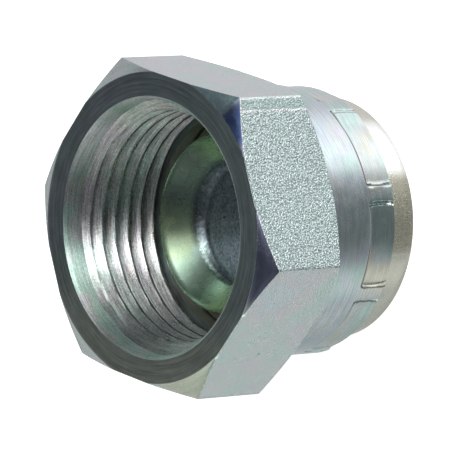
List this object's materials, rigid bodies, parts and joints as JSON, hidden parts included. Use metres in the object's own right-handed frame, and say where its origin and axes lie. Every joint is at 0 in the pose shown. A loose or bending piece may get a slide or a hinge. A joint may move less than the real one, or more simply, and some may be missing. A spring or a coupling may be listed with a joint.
{
  "type": "swivel nut blanking cap",
  "caption": "Hexagon swivel nut crimped over a blanking plug, which closes and protects a threaded hydraulic port.",
  "frame": {"origin": "centre of the plug's flat rear face, on which the cap stands", "axes": "+Z along the common axis of nut and plug, out of the threaded mouth; +Y and -Y face two opposite flats of the hexagon, +X and -X two opposite corners"},
  "size_m": [0.037, 0.032, 0.0257],
  "materials": {
    "nut_zinc": "bright zinc plating over turned and drawn steel, faint blue and lilac passivation",
    "plug_zinc": "zinc plating over turned steel, passivated to a yellow and olive tint"
  },
  "bodies": {
    "plug": {"blanking_plug": "plug_zinc"},
    "nut": {"swivel_nut": "nut_zinc"}
  },
  "joints": [
    {"name": "nut_swivel", "type": "hinge", "parent": "plug", "child": "nut", "pos_m": [0, 0, 0.0095], "axis": [0, 0, 1], "continuous": true}
  ]
}
